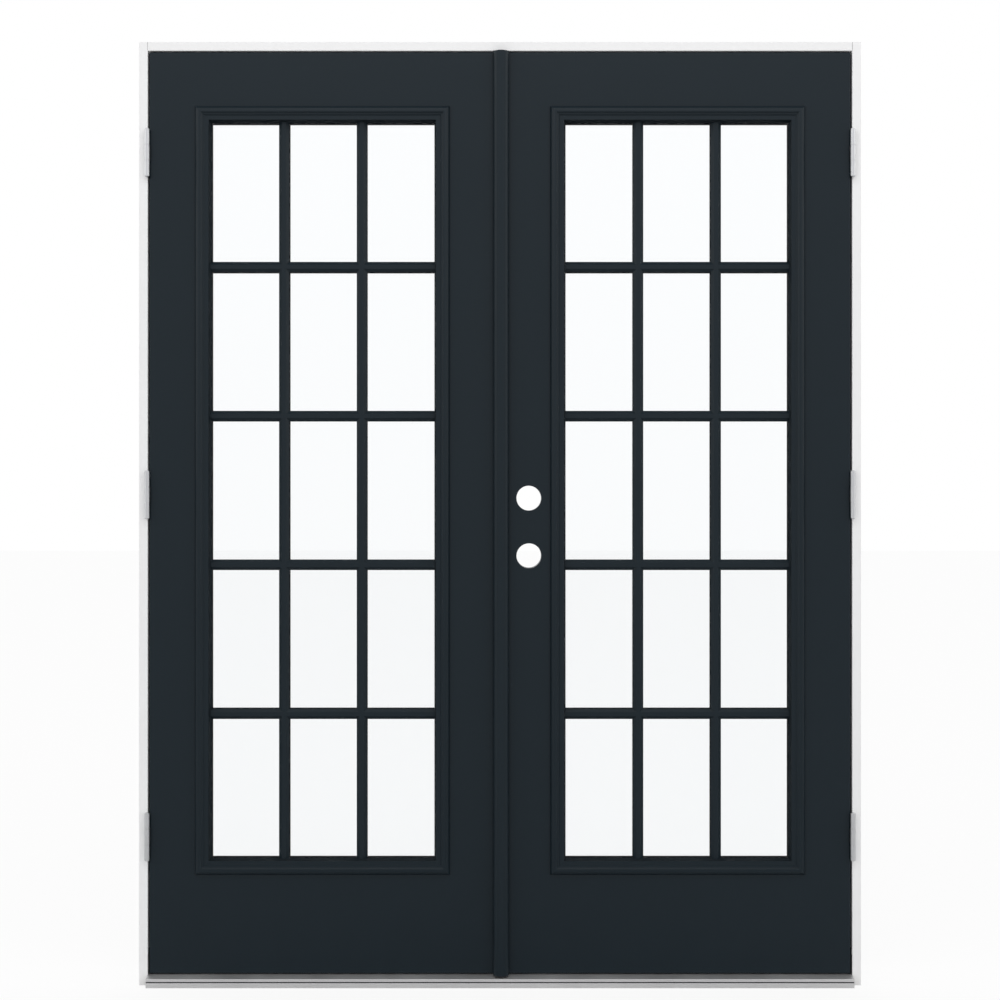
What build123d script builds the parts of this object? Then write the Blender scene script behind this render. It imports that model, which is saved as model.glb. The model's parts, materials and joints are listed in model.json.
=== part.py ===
from build123d import *
import os

# French doors: an outward-opening pair of full-lite leaves in their own frame.
# Millimetres. X runs to the right seen from outside, Y into the building, Z up.
# The origin is on the centre line, in the outside face of the leaves, under the frame.
# Pieces are modelled on the right-hand side, and the left-hand ones are their mirror image.

# Leaves
SLAB_WIDTH = 755.65
SLAB_HEIGHT = 1991.8
SLAB_THICKNESS = 44.45
SLAB_EDGE_RADIUS = 1.8
SKIN_THICKNESS = 2.0
SKIN_EDGE_SHARE = 0.9
HINGE_STILE_WIDTH = 41.3
LOCK_STILE_WIDTH = 100.0
TOP_RAIL_HEIGHT = 55.0
BOTTOM_RAIL_HEIGHT = 110.0

# Gaps round the leaves
HINGE_GAP = 4.0
MEETING_GAP = 4.7
HEAD_GAP = 3.15
SILL_GAP = 3.0
SEAL_SPACE = 6.0
SEAL_CLEARANCE = 0.3

# Jambs and head
JAMB_THICKNESS = 19.05
JAMB_DEPTH = 116.0
STOP_PROJECTION = 12.7
FRAME_EDGE_RADIUS = 1.5
KERF_WIDTH = 3.0
KERF_DEPTH = 9.0
STRIP_WIDTH = 11.5
STRIP_EDGE_RADIUS = 2.2
STRIP_BARB = 8.0

# Sill
SILL_NOSE = 21.0
SILL_NOSE_HEIGHT = 10.5
SILL_GROOVE_HEIGHT = 2.8
SILL_GROOVE_DEPTH = 3.0
SILL_LIP_HEIGHT = 5.7
SILL_FALL = 4.0
SILL_STEP = 22.0
SILL_BACK_RUN = 16.0
SILL_BACK_FALL = 5.0
SILL_WALL = 2.0
SILL_EDGE_RADIUS = 1.0
BUMPER_HEIGHT = 12.0
BUMPER_INSET = 5.0
SWEEP_INSET = 8.0
SWEEP_BASE = 1.2
SWEEP_FIN = 2.0
SWEEP_FINS = 3

# Lites
PANE_COLUMNS = 3
PANE_ROWS = 5
LITE_LOCK_MARGIN = 140.0
LITE_HINGE_MARGIN = 132.5
LITE_TOP_MARGIN = 150.8
LITE_BOTTOM_MARGIN = 247.6
GLASS_THICKNESS = 3.0
GLASS_SPACE = 13.0
GLASS_BITE = 12.0
SPACER_INSET = 3.0
BAR_WIDTH = 22.4
BAR_HEIGHT = 6.5
BAR_FLAT = 9.0
BAR_SIDE = 1.0

# Moulded lite frame: across its face from the outer edge, and outwards from the skin
LITE_FACE = 34.0
LITE_LAP = 15.0
LITE_EDGE = 2.0
LITE_SWELL = 1.8
LITE_CREST = 10.5
LITE_CREST_START = 10.0
LITE_CREST_END = 13.5
LITE_LEDGE = 7.4
LITE_LEDGE_START = 17.0
LITE_LEDGE_END = 19.0
LITE_FLAT = 5.2
LITE_FLAT_START = 21.0
LITE_FLAT_END = 30.0
LITE_WALL = 3.0
LITE_LEG = 6.0
LITE_LEG_CLEARANCE = 0.5

# Hinges
HINGE_HEIGHT = 101.6
HINGE_LEAF_REACH = 38.1
HINGE_LEAF_THICKNESS = 2.3
HINGE_TOP_INSET = 218.3
HINGE_BOTTOM_INSET = 296.5
HINGE_BARREL_RADIUS = 5.7
HINGE_BARREL_STAND = 7.0
HINGE_PIN_INSET = 3.7
HINGE_PIN_RADIUS = 3.0
HINGE_PIN_CLEARANCE = 0.08
KNUCKLE_COUNT = 3
KNUCKLE_GAP = 0.4
KNUCKLE_RELIEF = 0.6

# Lock preparation
BACKSET = 60.3
LOCK_BORE_RADIUS = 27.0
LATCH_BORE_RADIUS = 12.7
LEVER_HEIGHT = 928.7
LOCK_SPACING = 125.0
FACE_PLATE_WIDTH = 25.4
FACE_PLATE_HEIGHT = 57.2
FACE_PLATE_DEPTH = 3.0
FACE_PLATE_CORNER = 6.35
STRIKE_POCKET_WIDTH = 16.0
STRIKE_POCKET_HEIGHT = 32.0
STRIKE_POCKET_DEPTH = 22.0

# Flush bolts
BOLT_RADIUS = 5.0
BOLT_INSET = 14.0
BOLT_LENGTH = 160.0
BOLT_SET_BACK = 1.0
BOLT_CLEARANCE = 0.1
BOLT_THROW = 14.0
BOLT_HOLE_CLEARANCE = 1.0
BOLT_PLATE_THICKNESS = 2.0
BOLT_PLATE_WIDTH = 19.0
BOLT_PLATE_HEIGHT = 110.0
BOLT_PLATE_REACH = 22.0
BOLT_SLOT_WIDTH = 8.0
BOLT_TAB_HEIGHT = 12.0
BOLT_TAB_RISE = 20.0
BOLT_TAB_SET_BACK = 0.3
BOLT_SLOT_CLEARANCE = 0.3
STRIKE_LENGTH = 30.0
STRIKE_WIDTH = 19.0
STRIKE_THICKNESS = 2.0

# Astragal
ASTRAGAL_WIDTH = 33.4
ASTRAGAL_OFFSET = 2.3
ASTRAGAL_SIDE = 10.0
ASTRAGAL_SHOULDER = 18.6
ASTRAGAL_SHOULDER_SWELL = 1.8
ASTRAGAL_BEAD_WIDTH = 13.4
ASTRAGAL_BEAD_STEP = 0.8
ASTRAGAL_BEAD_SWELL = 1.4
ASTRAGAL_DROP = 1.0
ASTRAGAL_RELIEF = 0.6
ASTRAGAL_SEAL_WIDTH = 5.0
ASTRAGAL_SEAL_DEPTH = 4.0
ASTRAGAL_PAD_WIDTH = 24.0
ASTRAGAL_PAD_INSET = 3.0

# Places that follow from the sizes
MEETING_EDGE = MEETING_GAP / 2
HINGE_EDGE = MEETING_EDGE + SLAB_WIDTH
RABBET = HINGE_EDGE + HINGE_GAP
JAMB_BACK = RABBET + JAMB_THICKNESS
STOP_FACE = SLAB_THICKNESS + SEAL_SPACE
STOP_EDGE = RABBET - STOP_PROJECTION
SILL_GROOVE_TOP = SILL_NOSE_HEIGHT + SILL_GROOVE_HEIGHT
SILL_LIP_TOP = SILL_GROOVE_TOP + SILL_LIP_HEIGHT
SILL_DECK = SILL_LIP_TOP + SILL_FALL
SILL_TOP = SILL_DECK + SILL_STEP
SLAB_BOTTOM = SILL_DECK + SILL_GAP
SLAB_TOP = SLAB_BOTTOM + SLAB_HEIGHT
HEAD_RABBET = SLAB_TOP + HEAD_GAP
FRAME_TOP = HEAD_RABBET + JAMB_THICKNESS
STRIP_FRONT = SLAB_THICKNESS + SEAL_CLEARANCE
MID_SLAB = SLAB_THICKNESS / 2
INNER_SKIN_FACE = SLAB_THICKNESS - SKIN_THICKNESS

DAYLIGHT_WIDTH = SLAB_WIDTH - LITE_LOCK_MARGIN - LITE_HINGE_MARGIN
DAYLIGHT_HEIGHT = SLAB_HEIGHT - LITE_TOP_MARGIN - LITE_BOTTOM_MARGIN
PANE_WIDTH = (DAYLIGHT_WIDTH - (PANE_COLUMNS - 1) * BAR_WIDTH) / PANE_COLUMNS
PANE_HEIGHT = (DAYLIGHT_HEIGHT - (PANE_ROWS - 1) * BAR_WIDTH) / PANE_ROWS
LITE_WIDTH = DAYLIGHT_WIDTH + 2 * LITE_FACE
LITE_HEIGHT = DAYLIGHT_HEIGHT + 2 * LITE_FACE
LITE_X = MEETING_EDGE + LITE_LOCK_MARGIN + DAYLIGHT_WIDTH / 2
LITE_Z = SLAB_BOTTOM + LITE_BOTTOM_MARGIN + DAYLIGHT_HEIGHT / 2
GLASS_FRONT = MID_SLAB - GLASS_SPACE / 2 - GLASS_THICKNESS
LEG_OUTER = LITE_LAP + LITE_LEG_CLEARANCE
LEG_INNER = LEG_OUTER + LITE_LEG

PIN_X = HINGE_EDGE + HINGE_PIN_INSET
PIN_Y = -HINGE_BARREL_STAND
HINGE_TOP_Z = SLAB_TOP - HINGE_TOP_INSET
HINGE_BOTTOM_Z = SLAB_BOTTOM + HINGE_BOTTOM_INSET
HINGE_HEIGHTS = (HINGE_BOTTOM_Z, (HINGE_BOTTOM_Z + HINGE_TOP_Z) / 2, HINGE_TOP_Z)
KNUCKLE_LENGTH = (HINGE_HEIGHT - (KNUCKLE_COUNT - 1) * KNUCKLE_GAP) / KNUCKLE_COUNT
LOCK_X = MEETING_EDGE + BACKSET
LOCK_HEIGHTS = (LEVER_HEIGHT, LEVER_HEIGHT + LOCK_SPACING)
BOLT_X = MEETING_EDGE + BOLT_INSET


def block(x, y, z):
    """A box between the two values of each pair."""
    pairs = (x, y, z)
    middle = [(low + high) / 2 for low, high in pairs]
    return Pos(*middle) * Box(*[high - low for low, high in pairs])


def rod_x(radius, x, y, z):
    """A cylinder along X between the two values of x."""
    low, high = x
    return Pos((low + high) / 2, y, z) * Rot(0, 90, 0) * Cylinder(radius, high - low)


def rod_y(radius, x, y, z):
    """A cylinder along Y between the two values of y."""
    low, high = y
    return Pos(x, (low + high) / 2, z) * Rot(90, 0, 0) * Cylinder(radius, high - low)


def rod_z(radius, x, y, z):
    """A cylinder along Z between the two values of z."""
    low, high = z
    return Pos(x, y, (low + high) / 2) * Cylinder(radius, high - low)


def swell(start, end, rise):
    """An arc from start to end that stands rise to the left of its chord."""
    (x0, y0), (x1, y1) = start, end
    length = ((x1 - x0) ** 2 + (y1 - y0) ** 2) ** 0.5
    middle_x = (x0 + x1) / 2 - rise * (y1 - y0) / length
    middle_y = (y0 + y1) / 2 + rise * (x1 - x0) / length
    return ThreePointArc(start, (middle_x, middle_y), end)


def along_x(section, x):
    """Extrude a section of the Y-Z plane along X between the two values of x."""
    low, high = x
    return Pos(low, 0, 0) * extrude(Plane.YZ * section, amount=high - low)


def along_z(section, z):
    """Extrude a section of the X-Y plane along Z between the two values of z."""
    low, high = z
    return Pos(0, 0, low) * extrude(section, amount=high - low)


def polygon(*points):
    return make_face(Polyline(*points, close=True))


def ease(solid, axis, radius, *spots):
    """Round the edges parallel to axis that pass through the given points."""
    edges = solid.edges().filter_by(axis)
    chosen = [edge for edge in edges for spot in spots if edge.distance_to(Vertex(*spot)) < 0.01]
    return fillet(chosen, radius)


def flip(shape):
    """The mirror image on the other side of the centre line."""
    return mirror(shape, about=Plane.YZ)


def group(shapes):
    """Separate solids kept together as one node."""
    return Compound([solid for shape in shapes for solid in shape.solids()])


# Frame

def jamb_board():
    """Rebated side board with its stop, coped over the sill at its foot."""
    section = polygon(
        (RABBET, 0),
        (JAMB_BACK, 0),
        (JAMB_BACK, JAMB_DEPTH),
        (STOP_EDGE, JAMB_DEPTH),
        (STOP_EDGE, STOP_FACE),
        (RABBET - KERF_WIDTH, STOP_FACE),
        (RABBET - KERF_WIDTH, STOP_FACE + KERF_DEPTH),
        (RABBET, STOP_FACE + KERF_DEPTH),
    )
    board = along_z(section, (0, FRAME_TOP))
    board = ease(
        board,
        Axis.Z,
        FRAME_EDGE_RADIUS,
        (RABBET, 0, 1),
        (JAMB_BACK, 0, 1),
        (STOP_EDGE, STOP_FACE, 1),
        (STOP_EDGE, JAMB_DEPTH, 1),
    )
    over_head = block((STOP_EDGE, RABBET), (0, JAMB_DEPTH), (HEAD_RABBET, FRAME_TOP))
    return board - over_head - sill_solid()


def head_board():
    """Head board between the side boards, its stop cut short to fit between theirs."""
    section = polygon(
        (0, HEAD_RABBET),
        (0, FRAME_TOP),
        (JAMB_DEPTH, FRAME_TOP),
        (JAMB_DEPTH, HEAD_RABBET - STOP_PROJECTION),
        (STOP_FACE, HEAD_RABBET - STOP_PROJECTION),
        (STOP_FACE, HEAD_RABBET - KERF_WIDTH),
        (STOP_FACE + KERF_DEPTH, HEAD_RABBET - KERF_WIDTH),
        (STOP_FACE + KERF_DEPTH, HEAD_RABBET),
    )
    board = along_x(section, (-RABBET, RABBET))
    board = ease(
        board,
        Axis.X,
        FRAME_EDGE_RADIUS,
        (0, 0, HEAD_RABBET),
        (0, STOP_FACE, HEAD_RABBET - STOP_PROJECTION),
        (0, JAMB_DEPTH, HEAD_RABBET - STOP_PROJECTION),
    )
    stop_end = block(
        (STOP_EDGE, RABBET), (0, JAMB_DEPTH), (HEAD_RABBET - STOP_PROJECTION, HEAD_RABBET)
    )
    return board - stop_end - flip(stop_end)


def sill_outline(wall):
    """Sill section in the Y-Z plane, set in by wall from the nose, deck, step and back."""
    step_face = STOP_FACE + wall
    back_start = JAMB_DEPTH - SILL_BACK_RUN
    return (
        (-SILL_NOSE + SILL_GROOVE_DEPTH + wall, 0),
        (-SILL_NOSE + SILL_GROOVE_DEPTH + wall, SILL_LIP_TOP - wall),
        (0, SILL_DECK - wall),
        (step_face, SILL_DECK - wall),
        (step_face, SILL_TOP - wall),
        (back_start, SILL_TOP - wall),
        (JAMB_DEPTH - wall, SILL_TOP - SILL_BACK_FALL - wall),
        (JAMB_DEPTH - wall, 0),
    )


def sill_solid():
    """The whole sill between the side boards, cap and core together."""
    outline = sill_outline(0)
    nose = (
        (-SILL_NOSE, 0),
        (-SILL_NOSE, SILL_NOSE_HEIGHT),
        (-SILL_NOSE + SILL_GROOVE_DEPTH, SILL_NOSE_HEIGHT),
        (-SILL_NOSE + SILL_GROOVE_DEPTH, SILL_GROOVE_TOP),
        (-SILL_NOSE, SILL_GROOVE_TOP),
        (-SILL_NOSE, SILL_LIP_TOP),
    )
    solid = along_x(polygon(*nose, *outline[2:]), (-RABBET, RABBET))
    return ease(
        solid,
        Axis.X,
        SILL_EDGE_RADIUS,
        (0, -SILL_NOSE, SILL_NOSE_HEIGHT),
        (0, -SILL_NOSE, SILL_LIP_TOP),
        (0, STOP_FACE, SILL_TOP),
    )


def sill_core():
    return along_x(polygon(*sill_outline(SILL_WALL)), (-RABBET, RABBET))


def jamb_strip():
    """Compression strip in the corner of the rabbet, its barb in the stop's kerf."""
    bulb = block(
        (RABBET - STRIP_WIDTH, RABBET),
        (STRIP_FRONT, STOP_FACE),
        (SILL_DECK + SEAL_CLEARANCE, HEAD_RABBET),
    )
    bulb = ease(
        bulb,
        Axis.Z,
        STRIP_EDGE_RADIUS,
        (RABBET - STRIP_WIDTH, STRIP_FRONT, SILL_TOP),
        (RABBET, STRIP_FRONT, SILL_TOP),
    )
    tongue = block(
        (RABBET - KERF_WIDTH, RABBET), (STOP_FACE, STOP_FACE + STRIP_BARB), (SILL_TOP, HEAD_RABBET)
    )
    return bulb + tongue


def head_strip():
    ends = (-RABBET + STRIP_WIDTH, RABBET - STRIP_WIDTH)
    bulb = block(ends, (STRIP_FRONT, STOP_FACE), (HEAD_RABBET - STRIP_WIDTH, HEAD_RABBET))
    bulb = ease(
        bulb,
        Axis.X,
        STRIP_EDGE_RADIUS,
        (0, STRIP_FRONT, HEAD_RABBET - STRIP_WIDTH),
        (0, STRIP_FRONT, HEAD_RABBET),
    )
    tongue = block(
        (-STOP_EDGE, STOP_EDGE),
        (STOP_FACE, STOP_FACE + STRIP_BARB),
        (HEAD_RABBET - KERF_WIDTH, HEAD_RABBET),
    )
    return bulb + tongue


def sill_bumper():
    """Strip on the sill's step that the leaves close against."""
    ends = (-RABBET + STRIP_WIDTH, RABBET - STRIP_WIDTH)
    low = SILL_DECK + BUMPER_INSET
    middle = low + BUMPER_HEIGHT / 2
    bulb = block(ends, (STRIP_FRONT, STOP_FACE), (low, low + BUMPER_HEIGHT))
    bulb = ease(
        bulb,
        Axis.X,
        STRIP_EDGE_RADIUS,
        (0, STRIP_FRONT, low),
        (0, STRIP_FRONT, low + BUMPER_HEIGHT),
    )
    return bulb + block(
        ends,
        (STOP_FACE, STOP_FACE + STRIP_BARB),
        (middle - KERF_WIDTH / 2, middle + KERF_WIDTH / 2),
    )


# Hinges

def knuckle(index, height):
    """One length of the barrel, counted from the bottom, before the pin's hole."""
    low = height - HINGE_HEIGHT / 2 + index * (KNUCKLE_LENGTH + KNUCKLE_GAP)
    return rod_z(HINGE_BARREL_RADIUS, PIN_X, PIN_Y, (low, low + KNUCKLE_LENGTH))


def hinge_plate(surface, direction, height):
    """Flat of one hinge leaf, let into the wood from its surface."""
    faces = sorted((surface, surface + direction * HINGE_LEAF_THICKNESS))
    front = PIN_Y + HINGE_BARREL_RADIUS + KNUCKLE_RELIEF
    return block(
        faces,
        (front, HINGE_LEAF_REACH),
        (height - HINGE_HEIGHT / 2, height + HINGE_HEIGHT / 2),
    )


def hinge_leaf(surface, direction, height, knuckles):
    """One hinge leaf: the flat with its own knuckles rolled round the pin."""
    faces = sorted((surface, surface + direction * HINGE_LEAF_THICKNESS))
    front = PIN_Y + HINGE_BARREL_RADIUS + KNUCKLE_RELIEF
    leaf = hinge_plate(surface, direction, height)
    for index in knuckles:
        roll = knuckle(index, height)
        box = roll.bounding_box()
        leaf += roll + block(faces, (PIN_Y, front), (box.min.Z, box.max.Z))
    return leaf


def hinge_pin(height):
    """Pin through the whole barrel, riveted fast in the frame's knuckles."""
    span = (height - HINGE_HEIGHT / 2, height + HINGE_HEIGHT / 2)
    return rod_z(HINGE_PIN_RADIUS, PIN_X, PIN_Y, span)


def pin_hole(height):
    """Hole for the pin through the leaf's own knuckles."""
    radius = HINGE_PIN_RADIUS + HINGE_PIN_CLEARANCE
    return rod_z(radius, PIN_X, PIN_Y, (height - HINGE_HEIGHT, height + HINGE_HEIGHT))


def hinge_mortises(surface, direction):
    """The recesses that the three hinge leaves of one side lie in."""
    return [hinge_plate(surface, direction, height) for height in HINGE_HEIGHTS]


# Leaf

def lite_hole(y):
    """The cut-out that the lite frames clamp, through the given depth."""
    half_width = LITE_WIDTH / 2 - LITE_LAP
    half_height = LITE_HEIGHT / 2 - LITE_LAP
    return block(
        (LITE_X - half_width, LITE_X + half_width), y, (LITE_Z - half_height, LITE_Z + half_height)
    )


def skin(y, outer_face):
    """One skin of the leaf with its rounded rim and the cut-out for the lite."""
    sheet = block((MEETING_EDGE, HINGE_EDGE), y, (SLAB_BOTTOM, SLAB_TOP))
    rim = [edge for edge in sheet.edges() if abs(edge.center().Y - outer_face) < 0.01]
    return fillet(rim, min(SLAB_EDGE_RADIUS, SKIN_EDGE_SHARE * SKIN_THICKNESS)) - lite_hole(y)


def core_block(x, z):
    return block(x, (SKIN_THICKNESS, INNER_SKIN_FACE), z)


def lock_bores():
    """The two through bores of the lock and the deadbolt."""
    return [
        rod_y(LOCK_BORE_RADIUS, LOCK_X, (0, SLAB_THICKNESS), height) for height in LOCK_HEIGHTS
    ]


def edge_recess(height):
    """Shallow recess for a face plate or a strike in the meeting edge."""
    recess = block(
        (MEETING_EDGE, MEETING_EDGE + FACE_PLATE_DEPTH),
        (MID_SLAB - FACE_PLATE_WIDTH / 2, MID_SLAB + FACE_PLATE_WIDTH / 2),
        (height - FACE_PLATE_HEIGHT / 2, height + FACE_PLATE_HEIGHT / 2),
    )
    return fillet(recess.edges().filter_by(Axis.X), FACE_PLATE_CORNER)


def latch_bore(height):
    """Bore from the meeting edge into a lock bore, for the latch."""
    return rod_x(LATCH_BORE_RADIUS, (MEETING_EDGE, LOCK_X), MID_SLAB, height)


def strike_pocket(height):
    """Pocket in the passive leaf's meeting edge that a thrown latch or bolt goes into."""
    return block(
        (MEETING_EDGE, MEETING_EDGE + STRIKE_POCKET_DEPTH),
        (MID_SLAB - STRIKE_POCKET_WIDTH / 2, MID_SLAB + STRIKE_POCKET_WIDTH / 2),
        (height - STRIKE_POCKET_HEIGHT / 2, height + STRIKE_POCKET_HEIGHT / 2),
    )


def bolt_span(end, away):
    """The length of a flush bolt's rod: its tip near the slab's end, its tail away from it."""
    tip = end + away * BOLT_SET_BACK
    return tip, tip + away * BOLT_LENGTH


def bolt_rod(end, away):
    """Flush bolt with the tab that a finger slides it by."""
    tip, tail = bolt_span(end, away)
    tab_end = tail - away * BOLT_TAB_RISE
    half = BOLT_SLOT_WIDTH / 2 - BOLT_CLEARANCE
    tab = block(
        (MEETING_EDGE + BOLT_TAB_SET_BACK, BOLT_X),
        (MID_SLAB - half, MID_SLAB + half),
        sorted((tab_end, tab_end - away * BOLT_TAB_HEIGHT)),
    )
    return rod_z(BOLT_RADIUS, BOLT_X, MID_SLAB, sorted((tip, tail))) + tab


def bolt_slot(end, away, x):
    """The way of the tab: its own height and its travel, with room at both ends."""
    tail = bolt_span(end, away)[1]
    tab_end = tail - away * BOLT_TAB_RISE
    near = tab_end + away * BOLT_SLOT_CLEARANCE
    far = tab_end - away * (BOLT_TAB_HEIGHT + BOLT_THROW + BOLT_SLOT_CLEARANCE)
    half = BOLT_SLOT_WIDTH / 2
    return block(x, (MID_SLAB - half, MID_SLAB + half), sorted((near, far)))


def bolt_plate_body(end, away):
    """Face plate of a flush bolt, let into the meeting edge, before its slot."""
    tail = bolt_span(end, away)[1]
    near = tail + away * BOLT_PLATE_REACH
    return block(
        (MEETING_EDGE, MEETING_EDGE + BOLT_PLATE_THICKNESS),
        (MID_SLAB - BOLT_PLATE_WIDTH / 2, MID_SLAB + BOLT_PLATE_WIDTH / 2),
        sorted((near, near - away * BOLT_PLATE_HEIGHT)),
    )


def bolt_plate(end, away):
    plate_x = (MEETING_EDGE, MEETING_EDGE + BOLT_PLATE_THICKNESS)
    return bolt_plate_body(end, away) - bolt_slot(end, away, plate_x)


def bolt_pocket(end, away):
    """What is taken out of the lock stile for one flush bolt and its plate."""
    tip, tail = bolt_span(end, away)
    bore = rod_z(
        BOLT_RADIUS + BOLT_CLEARANCE, BOLT_X, MID_SLAB, sorted((end, tail + away * BOLT_CLEARANCE))
    )
    way = bolt_slot(end, away, (MEETING_EDGE, BOLT_X))
    return bore + way + bolt_plate_body(end, away)


def bolt_hole(z, clearance):
    """The hole that a thrown bolt goes into."""
    return rod_z(BOLT_RADIUS + clearance, BOLT_X, MID_SLAB, z)


def strike_body(z):
    """Strike plate over a bolt's hole, before the hole."""
    return block(
        (BOLT_X - STRIKE_LENGTH / 2, BOLT_X + STRIKE_LENGTH / 2),
        (MID_SLAB - STRIKE_WIDTH / 2, MID_SLAB + STRIKE_WIDTH / 2),
        z,
    )


def sweep():
    """Strip under the leaf: a base with fins that stop just over the sill's deck."""
    low_y, high_y = SWEEP_INSET, SLAB_THICKNESS - SWEEP_INSET
    ends = (MEETING_EDGE, HINGE_EDGE)
    strip = block(ends, (low_y, high_y), (SLAB_BOTTOM - SWEEP_BASE, SLAB_BOTTOM))
    pitch = (high_y - low_y - SWEEP_FIN) / (SWEEP_FINS - 1)
    for index in range(SWEEP_FINS):
        start = low_y + index * pitch
        strip += block(ends, (start, start + SWEEP_FIN), (SILL_DECK + SEAL_CLEARANCE, SLAB_BOTTOM))
    return strip


# Lite, modelled about its own centre at the outside skin

def lite_section():
    """Section of the moulded frame: a hollow crest, a leg into the cut-out, a wall to the glass."""
    crest = (LITE_CREST_START, LITE_CREST)
    inner_wall = LITE_FACE - LITE_WALL
    ceiling = LITE_FLAT - LITE_WALL
    edge = Line((0, 0), (0, LITE_EDGE))
    rise = swell((0, LITE_EDGE), crest, LITE_SWELL)
    rest = Polyline(
        crest,
        (LITE_CREST_END, LITE_CREST),
        (LITE_LEDGE_START, LITE_LEDGE),
        (LITE_LEDGE_END, LITE_LEDGE),
        (LITE_FLAT_START, LITE_FLAT),
        (LITE_FLAT_END, LITE_FLAT),
        (LITE_FACE, -GLASS_FRONT),
        (inner_wall, -GLASS_FRONT),
        (LITE_FLAT_END - LITE_WALL, ceiling),
        (LEG_INNER, ceiling),
        (LEG_INNER, -MID_SLAB),
        (LEG_OUTER, -MID_SLAB),
        (LEG_OUTER, LITE_LEDGE - LITE_WALL),
        (LITE_CREST_END - LITE_WALL / 2, LITE_CREST - LITE_WALL),
        (LITE_CREST_START, LITE_CREST - LITE_WALL),
        (LITE_WALL, LITE_EDGE),
        (LITE_WALL, 0),
        (0, 0),
    )
    return make_face([edge, rise, rest])


def lite_frame():
    """Outer moulded frame: four bars of one section, mitred where they meet."""
    section = lite_section()
    half_width = LITE_WIDTH / 2
    half_height = LITE_HEIGHT / 2
    taper = half_height - half_width
    foot_plane = Plane(origin=(-half_width, 0, -half_height), x_dir=(0, 0, 1), z_dir=(1, 0, 0))
    side_plane = Plane(origin=(half_width, 0, -half_height), x_dir=(-1, 0, 0), z_dir=(0, 0, 1))
    foot_mitre = polygon((-half_width, -half_height), (half_width, -half_height), (0, -taper))
    side_mitre = polygon(
        (half_width, -half_height), (half_width, half_height), (0, taper), (0, -taper)
    )
    reach = SLAB_THICKNESS
    foot = extrude(foot_plane * section, amount=LITE_WIDTH)
    foot &= extrude(Plane.XZ * foot_mitre, amount=reach, both=True)
    side = extrude(side_plane * section, amount=LITE_HEIGHT)
    side &= extrude(Plane.XZ * side_mitre, amount=reach, both=True)
    return foot + side + mirror(foot, about=Plane.XY) + mirror(side, about=Plane.YZ)


def bar_section():
    """Section of a glazing bar: low sides, sloping shoulders and a flat middle."""
    half = BAR_WIDTH / 2
    flat = BAR_FLAT / 2
    return polygon(
        (-half, 0),
        (half, 0),
        (half, BAR_SIDE),
        (flat, BAR_HEIGHT),
        (-flat, BAR_HEIGHT),
        (-half, BAR_SIDE),
    )


def grille(frame):
    """Glazing bars on the outer pane, each running into the sloping wall of the frame."""
    section = bar_section()
    half_width = DAYLIGHT_WIDTH / 2 + LITE_WALL
    half_height = DAYLIGHT_HEIGHT / 2 + LITE_WALL
    bars = []
    for index in range(1, PANE_COLUMNS):
        x = -DAYLIGHT_WIDTH / 2 + index * (PANE_WIDTH + BAR_WIDTH) - BAR_WIDTH / 2
        top = Plane(origin=(x, GLASS_FRONT, half_height), x_dir=(1, 0, 0), z_dir=(0, 0, -1))
        bars.append(extrude(top * section, amount=2 * half_height))
    for index in range(1, PANE_ROWS):
        z = -DAYLIGHT_HEIGHT / 2 + index * (PANE_HEIGHT + BAR_WIDTH) - BAR_WIDTH / 2
        end = Plane(origin=(-half_width, GLASS_FRONT, z), x_dir=(0, 0, 1), z_dir=(1, 0, 0))
        bars.append(extrude(end * section, amount=2 * half_width))
    return sum(bars[1:], bars[0]) - frame


def pane(y, reach):
    """A plate over the daylight opening that goes past it by reach on all four sides."""
    half_width = DAYLIGHT_WIDTH / 2 + reach
    half_height = DAYLIGHT_HEIGHT / 2 + reach
    return block((-half_width, half_width), y, (-half_height, half_height))


def glass_spacer():
    """Ring that holds the two panes apart, its inner edge flush with the lite frame's lip."""
    low = GLASS_FRONT + GLASS_THICKNESS
    space = (low, low + GLASS_SPACE)
    return pane(space, GLASS_BITE - SPACER_INSET) - pane(space, 0)


def lite():
    """All pieces of one lite, by the name each has on a leaf."""
    mid_plane = Plane.XZ.offset(-MID_SLAB)
    frame = lite_frame()
    bars = grille(frame)
    back = GLASS_FRONT + GLASS_THICKNESS + GLASS_SPACE
    return {
        "outer_lite_frame": frame,
        "inner_lite_frame": mirror(frame, about=mid_plane),
        "outer_grille": bars,
        "inner_grille": mirror(bars, about=mid_plane),
        "outer_glass": pane((GLASS_FRONT, GLASS_FRONT + GLASS_THICKNESS), GLASS_BITE),
        "inner_glass": pane((back, back + GLASS_THICKNESS), GLASS_BITE),
        "glass_spacer": glass_spacer(),
    }


# Astragal

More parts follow.
